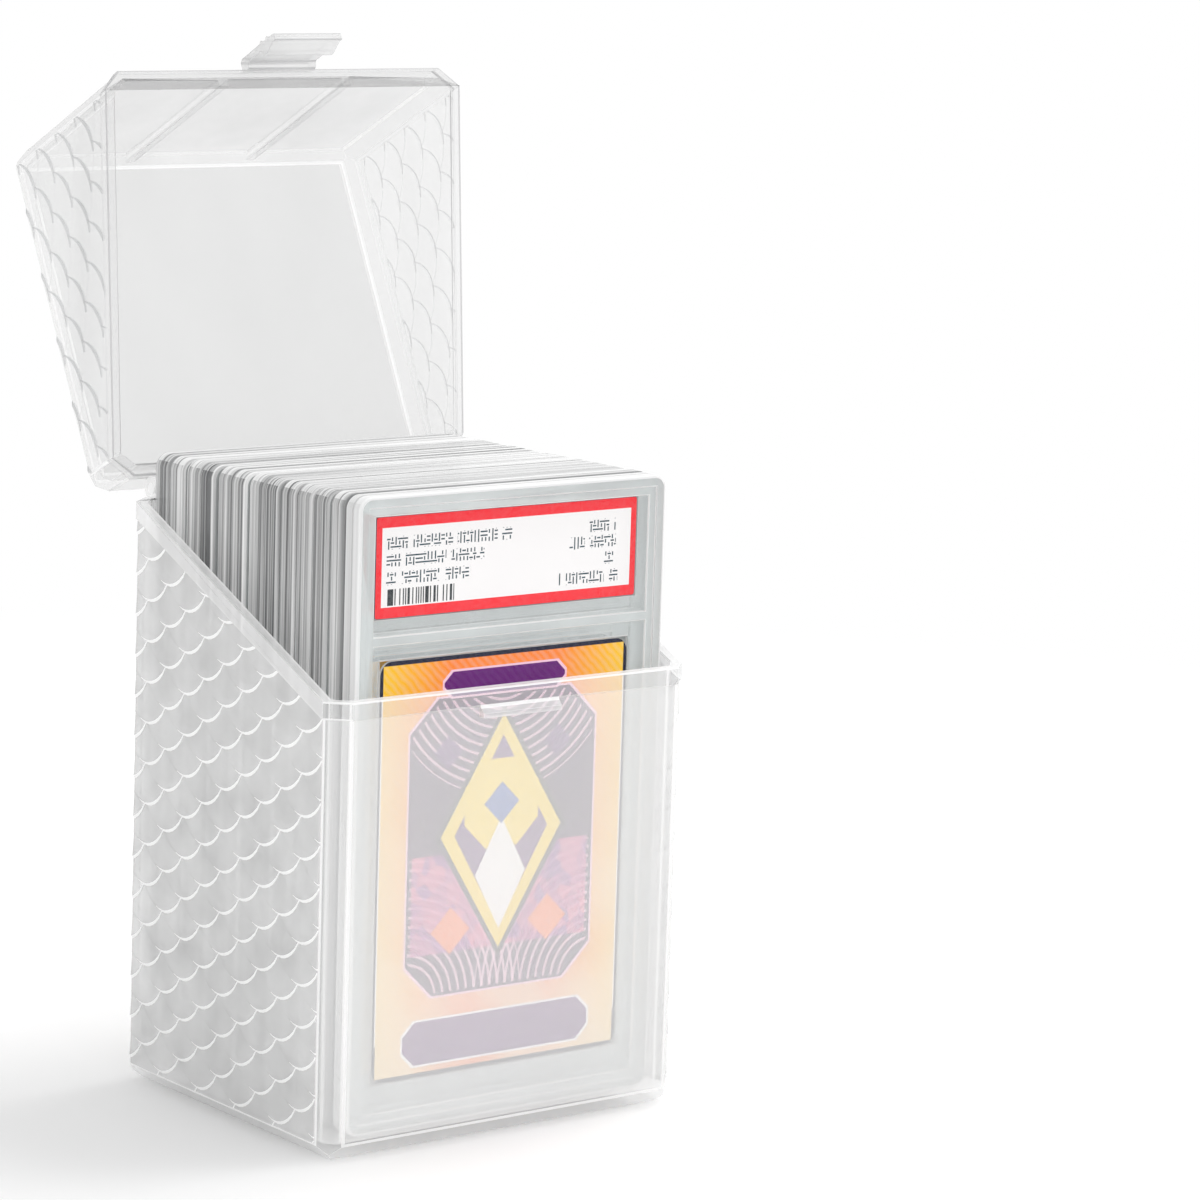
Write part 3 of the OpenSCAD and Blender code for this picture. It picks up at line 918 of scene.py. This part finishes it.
# Faint white diagonal waves: a painted sheen of the foil.
foil_sheen = node(tree, "ShaderNodeTexWave", {
    "Vector": node(tree, "ShaderNodeTexCoord").outputs["Object"], "Scale": 300.0, "Distortion": 3.0,
}, bands_direction="DIAGONAL").outputs["Fac"]
paint = lay(tree, paint, WHITE, sum_of(tree, "MULTIPLY", foil_sheen, 0.14))

OUTLINE = 0.45
fields = (
    (0, 4.0, 23.8, 31.5, 7.0, PINK, PLUM),
    (0, 38.3, 15.5, 2.6, 2.2, PINK, VIOLET),
    (0, -37.2, 24.0, 4.6, 3.0, WHITE, VIOLET),
)
for at_x, at_y, half_w, half_h, slanted, line, fill in fields:
    outer = bar_mask(tree, x, y, at_x, at_y, half_w + OUTLINE, half_h + OUTLINE, slanted)
    paint = lay(tree, paint, line, outer)
    paint = lay(tree, paint, fill, bar_mask(tree, x, y, at_x, at_y, half_w, half_h, slanted))

RINGS_REACH, RING_PITCH, RING_LINE = 30.0, 1.0, 0.3
panel = bar_mask(tree, x, y, 0, 4.0, 23.2, 30.9, 7.0)
for at_x, at_y in ((-24, -28), (24, -28), (0, 44)):
    far = use(tree, disc, X=x, Y=y, At_X=at_x, At_Y=at_y, Outer=RINGS_REACH)
    wave = sum_of(tree, "PINGPONG", far["Distance"], RING_PITCH)
    thin = sum_of(tree, "MULTIPLY", sum_of(tree, "LESS_THAN", wave, RING_LINE), far["Mask"])
    shown = sum_of(tree, "MULTIPLY", sum_of(tree, "MULTIPLY", thin, panel), 0.75)
    paint = lay(tree, paint, PINK, shown)

tiles = node(tree, "ShaderNodeTexVoronoi", {
    "Vector": node(tree, "ShaderNodeCombineXYZ", {"X": x, "Y": y}).outputs[0], "Scale": 0.3,
})
belt = sum_of(tree, "MULTIPLY", bar_mask(tree, x, y, 0, -8, 22.6, 10.5), panel)
share = node(tree, "ShaderNodeSeparateColor", {0: tiles.outputs["Color"]}).outputs[0]
tile_paint = lay(tree, colour(150, 60, 160), colour(240, 120, 160), share)
paint = lay(tree, paint, tile_paint, sum_of(tree, "MULTIPLY", belt, 0.8))

shapes = (
    (0, 6, 17.0, 27.0, 17.0, DARK), (0, 6, 15.5, 25.0, 15.5, YELLOW), (0, 6, 12.0, 20.5, 12.0, VIOLET),
    (0, 12, 9.5, 9.5, 5.5, YELLOW), (0, -3, 6.5, 12.0, 6.5, WHITE), (-12.5, -14, 5.0, 5.0, 5.0, ORANGE),
    (12.5, -14, 5.0, 5.0, 5.0, ORANGE), (0, 12, 4.5, 4.5, 4.5, colour(40, 90, 180)),
    (-14, 24, 3.6, 3.6, 3.6, VIOLET), (14, 24, 3.6, 3.6, 3.6, VIOLET),
)
for at_x, at_y, half_w, half_h, slanted, fill in shapes:
    tall = sum_of(tree, "MULTIPLY_ADD", sum_of(tree, "SUBTRACT", y, at_y), half_w / half_h, at_y)
    paint = lay(tree, paint, fill, bar_mask(tree, x, tall, at_x, at_y, half_w, half_w, slanted))
print("card layers so far:", len(tree.nodes), "nodes")

# %% Add the card's dark frame and finish its face
DARK_W, DARK_H, PALE_LINE, DARK_END = 0.6, 0.7, 0.3, 8


def border(line_w, line_h):
    """1 in a border of those widths along the card's edge."""
    middle = bar_mask(tree, x, y, 0, 0, CARD_W / 2 - line_w, CARD_H / 2 - line_h)
    return sum_of(tree, "SUBTRACT", 1.0, middle)


edge = border(DARK_W + PALE_LINE, DARK_H + PALE_LINE)
rim_line = border(DARK_W, DARK_H)
near_end = sum_of(tree, "GREATER_THAN", sum_of(tree, "ABSOLUTE", y), CARD_H / 2 - DARK_END)
corner = sum_of(tree, "MULTIPLY", edge, near_end)
paint = lay(tree, paint, WHITE, sum_of(tree, "SUBTRACT", edge, rim_line))
paint = lay(tree, paint, NAVY, sum_of(tree, "MAXIMUM", corner, rim_line))
tree.links.new(paint, shader.inputs["Base Color"])
gloss = sum_of(tree, "MULTIPLY_ADD", foil_sheen, -0.12, 0.34)
tree.links.new(gloss, shader.inputs["Roughness"])
print("card face:", len(tree.nodes), "nodes")

# %% [markdown]
# ### The card's back and edge, and the label
# The back has a plain lattice in the same colours. The label is white paper with a red border.
# Rows of thin strokes, upright or level at random, stand where a real one has its lines of text,
# and a row of bars is below them.

# %% Print the card's back and edge
OCHRE = colour(212, 170, 60)
LATTICE_PITCH, LATTICE_LINE = 5.0, 0.6

card_back, tree, shader = new_material("card_back", Roughness=0.4)
x, y = sheet_place(tree, CARD_W, CARD_H)
paint = lay(tree, WHITE, NAVY, bar_mask(tree, x, y, 0, 0, 30.2, 42.9, 1.5))
paint = lay(tree, paint, OCHRE, bar_mask(tree, x, y, 0, 0, 27.8, 40.5, 2.5))
paint = lay(tree, paint, PLUM, bar_mask(tree, x, y, 0, 0, 27.2, 39.9, 2.5))
one_way = sum_of(tree, "PINGPONG", sum_of(tree, "ADD", x, y), LATTICE_PITCH)
other_way = sum_of(tree, "PINGPONG", sum_of(tree, "SUBTRACT", x, y), LATTICE_PITCH)
lattice = sum_of(tree, "LESS_THAN", sum_of(tree, "MINIMUM", one_way, other_way), LATTICE_LINE)
field = bar_mask(tree, x, y, 0, 0, 25.4, 38.1, 2.5)
paint = lay(tree, paint, OCHRE, sum_of(tree, "MULTIPLY", lattice, field))
fibre = use(tree, streaks_and_light_bands, Scale=900.0, Stretch=(1.0, 1.0, 1.0))["Cloud"]
tree.links.new(lay(tree, paint, DARK, sum_of(tree, "MULTIPLY", fibre, 0.1)), shader.inputs["Base Color"])
tree.links.new(sum_of(tree, "MULTIPLY_ADD", fibre, 0.2, 0.3), shader.inputs["Roughness"])

paper_edge, tree, shader = new_material("paper_edge", Roughness=0.8)
layers = use(tree, streaks_and_light_bands, Scale=500.0, Stretch=(0.1, 4.0, 0.1))["Streak"]
tree.links.new(lay(tree, colour(246, 244, 240), colour(206, 202, 196), layers), shader.inputs["Base Color"])

# The label's cut edges are dark teal, so its top shows as a dark line.
dark_label_edge, tree, shader = new_material("dark_label_edge", Roughness=0.6)
layers = use(tree, streaks_and_light_bands, Scale=300.0, Stretch=(1.0, 0.1, 1.0))["Streak"]
tree.links.new(lay(tree, colour(30, 60, 84), colour(70, 110, 130), layers), shader.inputs["Base Color"])
print("card back and edges:", card_back.name, paper_edge.name, dark_label_edge.name)

# %% A group that draws rows of marks
MARK_W, MARK_H, STROKE = 0.9, 0.8, 0.16
UPRIGHT_BELOW, LEVEL_ABOVE = 0.5, 0.62
WORD_W, WORD_GAP = 11.3, 0.1

marks, given, out = new_group("marks", [("X", FLOAT, 0.0), ("Y", FLOAT, 0.0)], [("Mask", FLOAT)])
column = sum_of(marks, "DIVIDE", given["X"], MARK_W)
line = sum_of(marks, "DIVIDE", given["Y"], MARK_H)
cell = node(marks, "ShaderNodeCombineXYZ", {
    "X": sum_of(marks, "FLOOR", column), "Y": sum_of(marks, "ROUND", line),
}).outputs[0]
chance = node(marks, "ShaderNodeTexWhiteNoise", {"Vector": cell}, noise_dimensions="3D").outputs["Value"]
in_column = sum_of(marks, "FRACT", column)
in_line = sum_of(marks, "FRACT", sum_of(marks, "ADD", line, 0.5))
drawn = 0.0
for place, size, choice, limit in (
    (in_column, MARK_W, "LESS_THAN", UPRIGHT_BELOW), (in_line, MARK_H, "GREATER_THAN", LEVEL_ABOVE),
):
    off = sum_of(marks, "ABSOLUTE", sum_of(marks, "SUBTRACT", place, 0.5))
    near = sum_of(marks, "LESS_THAN", off, STROKE / size)
    chosen = sum_of(marks, "MULTIPLY", near, sum_of(marks, choice, chance, limit))
    drawn = sum_of(marks, "MAXIMUM", drawn, chosen)
word = sum_of(marks, "FRACT", sum_of(marks, "DIVIDE", given["X"], WORD_W))
in_word = sum_of(marks, "GREATER_THAN", word, WORD_GAP)
marks.links.new(sum_of(marks, "MULTIPLY", drawn, in_word), out["Mask"])
print("marks are", MARK_W, "mm apart")

# %% Print the label
LABEL_W, LABEL_H, LABEL_T = 66.7, 21.0, 0.3
RED, INK = colour(253, 12, 38), colour(24, 60, 74)
BORDER_SIDE, BORDER_END = 1.5, 2.3
ROW_HALF, MARKS_PER_ROW, ROW_LIFT = 1.3, 100, 8
BARS_PER_MM, BARS_ABOVE = 3.4, 0.45
MARK_ROWS = (
    (-30.7, 31.5, 5.0), (-30.7, 24.5, 1.4), (-30.7, 21.0, -2.3), (20.9, 7.0, 5.0),
    (15.8, 12.2, 1.6), (25.0, 3.5, -2.0), (13.0, 15.7, -5.8),
)

label_face, tree, shader = new_material("label_face", Specular_IOR_Level=0.1)
x, y = sheet_place(tree, LABEL_W, LABEL_H)
inner = bar_mask(tree, x, y, 0, 0, LABEL_W / 2 - BORDER_SIDE, LABEL_H / 2 - BORDER_END)
paint = lay(tree, RED, WHITE, inner)
for start, length, at_y in MARK_ROWS:
    row = bar_mask(tree, x, y, start + length / 2, at_y, length / 2, ROW_HALF)
    along = sum_of(tree, "ADD", x, MARKS_PER_ROW * MARK_W * (round(at_y) + ROW_LIFT) - start)
    strokes = use(tree, marks, X=along, Y=sum_of(tree, "SUBTRACT", y, at_y))["Mask"]
    paint = lay(tree, paint, INK, sum_of(tree, "MULTIPLY", row, strokes))
stripe = node(tree, "ShaderNodeTexWhiteNoise", {
    "W": sum_of(tree, "FLOOR", sum_of(tree, "MULTIPLY", x, BARS_PER_MM)),
}, noise_dimensions="1D").outputs["Value"]
bars_field = bar_mask(tree, x, y, -22.2, -6.2, 8.6, 1.7)
bars = sum_of(tree, "MULTIPLY", bars_field, sum_of(tree, "GREATER_THAN", stripe, BARS_ABOVE))
paint = lay(tree, paint, colour(28, 40, 46), bars)
fibre = use(tree, streaks_and_light_bands, Scale=1200.0, Stretch=(1.0, 1.0, 1.0))["Cloud"]
paint = lay(tree, paint, colour(225, 222, 220), sum_of(tree, "MULTIPLY", fibre, 0.12))
tree.links.new(paint, shader.inputs["Base Color"])
tree.links.new(sum_of(tree, "MULTIPLY_ADD", fibre, 0.2, 0.45), shader.inputs["Roughness"])
print("label:", len(tree.nodes), "nodes")

# %% [markdown]
# ### The card and the label as pieces
# A card is cut with round corners and is printed on both sides. It starts as a thin block. Its
# four upright edges are bevelled round, and each printed face gets a UV map that spans it.

# %% Model the card and the label
CARD_CORNER, LABEL_CORNER, CORNER_SEGMENTS, SHEET_BEVEL = 3.0, 0.6, 8, 0.06
FACES_Y = 0.9


def printed_sheet(name, size, corner, low, materials):
    """A thin sheet that stands up, with round corners and a map for its print."""
    width, thick, height = size
    bpy.ops.object.select_all(action="DESELECT")
    middle = Vector(low) / MM + Vector(size) / 2
    bpy.ops.mesh.primitive_cube_add(size=1, location=middle * MM)
    sheet = rename(name)
    sheet.scale = Vector(size) * MM
    settle(sheet)
    open_mesh(sheet)
    pick(sheet, "edges", lambda e: abs(e.verts[0].co.y - e.verts[1].co.y) > 0.5 * thick * MM)
    bpy.ops.mesh.bevel(offset=corner * MM, segments=CORNER_SEGMENTS)
    pick(sheet, "faces", lambda f: abs(f.normal.y) > FACES_Y)
    bpy.ops.mesh.bevel(offset=SHEET_BEVEL * MM, segments=1)
    close_mesh()
    for material in materials:
        sheet.data.materials.append(material)
    chart = sheet.data.uv_layers.new(name="print") if not sheet.data.uv_layers else sheet.data.uv_layers[0]
    chart.name = "print"
    for face in sheet.data.polygons:
        way = face.normal.y
        face.material_index = 0 if way < -FACES_Y else 1 if way > FACES_Y else 2
        for loop in face.loop_indices:
            point = sheet.data.vertices[sheet.data.loops[loop].vertex_index].co - Vector(low)
            across = point.x / MM / width
            chart.data[loop].uv = (across if way <= 0 else 1 - across, point.z / MM / height)
    return sheet


card = printed_sheet(
    "card", (CARD_W, CARD_T, CARD_H), CARD_CORNER,
    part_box("holder_01_card")[0], (card_face, card_back, paper_edge),
)
label = printed_sheet(
    "label", (LABEL_W, LABEL_T, LABEL_H), LABEL_CORNER,
    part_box("holder_01_label")[0], (label_face, paper_edge, dark_label_edge),
)
print("card:", len(card.data.polygons), "faces, label:", len(label.data.polygons), "faces")

# %% Put a card and a label in every holder
for i in range(1, HOLDERS + 1):
    body = f"holder_{i:02d}"
    for made, part, slot in ((card, "card", "card_print"), (label, "label", "label_paper")):
        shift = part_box(f"{body}_{part}")[0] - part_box(f"holder_01_{part}")[0]
        piece = copy_of(made, f"{body}_printed_{part}", shift)
        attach(piece, body)
        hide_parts(f"{body}_{part}")
bpy.data.objects.remove(card)
bpy.data.objects.remove(label)
print("cards and labels:", 2 * HOLDERS)

# %% [markdown]
# ## Floor, backdrop and light
# The case stands on a plain white floor. The camera sees the floor as white, apart from the
# shadow, by a share of emission that grows with the distance. The world is white to the camera
# and in reflections, and a soft grey light to everything else.

# %% Lay the floor
FLOOR_SIZE, FLOOR_DROP = 12, 0.0002
GLOW_FROM, GLOW_TO = 0.15, 0.6
NEAR_SHARE, FAR_SHARE = 0.08, 1.0
NEAR_GLOW, FAR_GLOW = 1.6, 1.0


def seen_directly(tree):
    """1 where the camera sees a surface, also in a reflection or through glass, and else 0."""
    path = node(tree, "ShaderNodeLightPath").outputs
    seen = sum_of(tree, "MAXIMUM", path["Is Camera Ray"], path["Is Glossy Ray"])
    return sum_of(tree, "MAXIMUM", seen, path["Is Transmission Ray"])


bpy.ops.object.select_all(action="DESELECT")
bpy.ops.mesh.primitive_plane_add(size=FLOOR_SIZE, location=(0, 0, -FLOOR_DROP))
floor = rename("floor")
floor_white, tree, shader = new_material("floor_white", Roughness=0.9, Specular_IOR_Level=0.1)
shader.inputs["Base Color"].default_value = colour(246, 246, 246)
seen = seen_directly(tree)
place = node(tree, "ShaderNodeTexCoord").outputs["Object"]
away = node(tree, "ShaderNodeVectorMath", {0: place}, operation="LENGTH").outputs["Value"]
distant = node(tree, "ShaderNodeMapRange", {
    "Value": away, "From Min": GLOW_FROM, "From Max": GLOW_TO,
}, interpolation_type="SMOOTHSTEP").outputs[0]
share = sum_of(tree, "MULTIPLY_ADD", distant, FAR_SHARE - NEAR_SHARE, NEAR_SHARE)
strength = sum_of(tree, "MULTIPLY_ADD", distant, FAR_GLOW - NEAR_GLOW, NEAR_GLOW)
glow = node(tree, "ShaderNodeEmission", {"Color": (1, 1, 1, 1), "Strength": strength}).outputs[0]
glowing = sum_of(tree, "MULTIPLY", seen, share)
mixed = node(tree, "ShaderNodeMixShader", {0: glowing, 1: shader.outputs[0], 2: glow})
tree.links.new(mixed.outputs[0], tree.nodes["Material Output"].inputs["Surface"])
floor.data.materials.append(floor_white)
floor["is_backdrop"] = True
print("floor of", tuple(round(s) for s in floor.dimensions[:2]), "metres")

# %% Light the world
AMBIENT = 0.76

world = bpy.data.worlds.new("studio")
scene.world = world
world.use_nodes = True
tree = world.node_tree
sky = tree.nodes["Background"]
sky.inputs["Color"].default_value = (1, 1, 1, 1)
seen = seen_directly(tree)
tree.links.new(sum_of(tree, "MULTIPLY_ADD", seen, 1 - AMBIENT, AMBIENT), sky.inputs["Strength"])
print("the world lights the case at", AMBIENT)

# %% [markdown]
# Three square lamps stand round the case: a strong one high on the right, whose shadow falls to
# the left, and two weak ones in front and on the left. A ray may pass through many veils, one
# behind another, before it stops, because the row has 26 halves.

# %% Set up the lamps
VEILS = 64


def softbox(name, place, size, power):
    """A square lamp that looks at the middle of the case."""
    lamp = bpy.data.lights.new(name, "AREA")
    lamp.size, lamp.energy = size, power
    made = bpy.data.objects.new(name, lamp)
    scene.collection.objects.link(made)
    made.location = place
    made.rotation_euler = (AIM - Vector(place)).to_track_quat("-Z", "Y").to_euler()
    made.visible_glossy = False


softbox("key_right", place=(1.0, -0.1, 1.6), size=1.0, power=16)
softbox("fill_front", place=(-0.3, -1.6, 0.6), size=1.2, power=2.9)
softbox("fill_left", place=(-1.5, -0.5, 0.5), size=1.2, power=3.0)
scene.cycles.transparent_max_bounces = VEILS

# %% [markdown]
# ## Finish
# The boxes of the measured model and of this one are printed, so that they can be compared.

# %% Print the sizes and finish
sizes = {"cad": [list(c) for c in cad_box], "visual": [list(c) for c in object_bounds()]}
for name, (low, high) in sizes.items():
    print(name, [round((b - a) / MM, 2) for a, b in zip(low, high)])
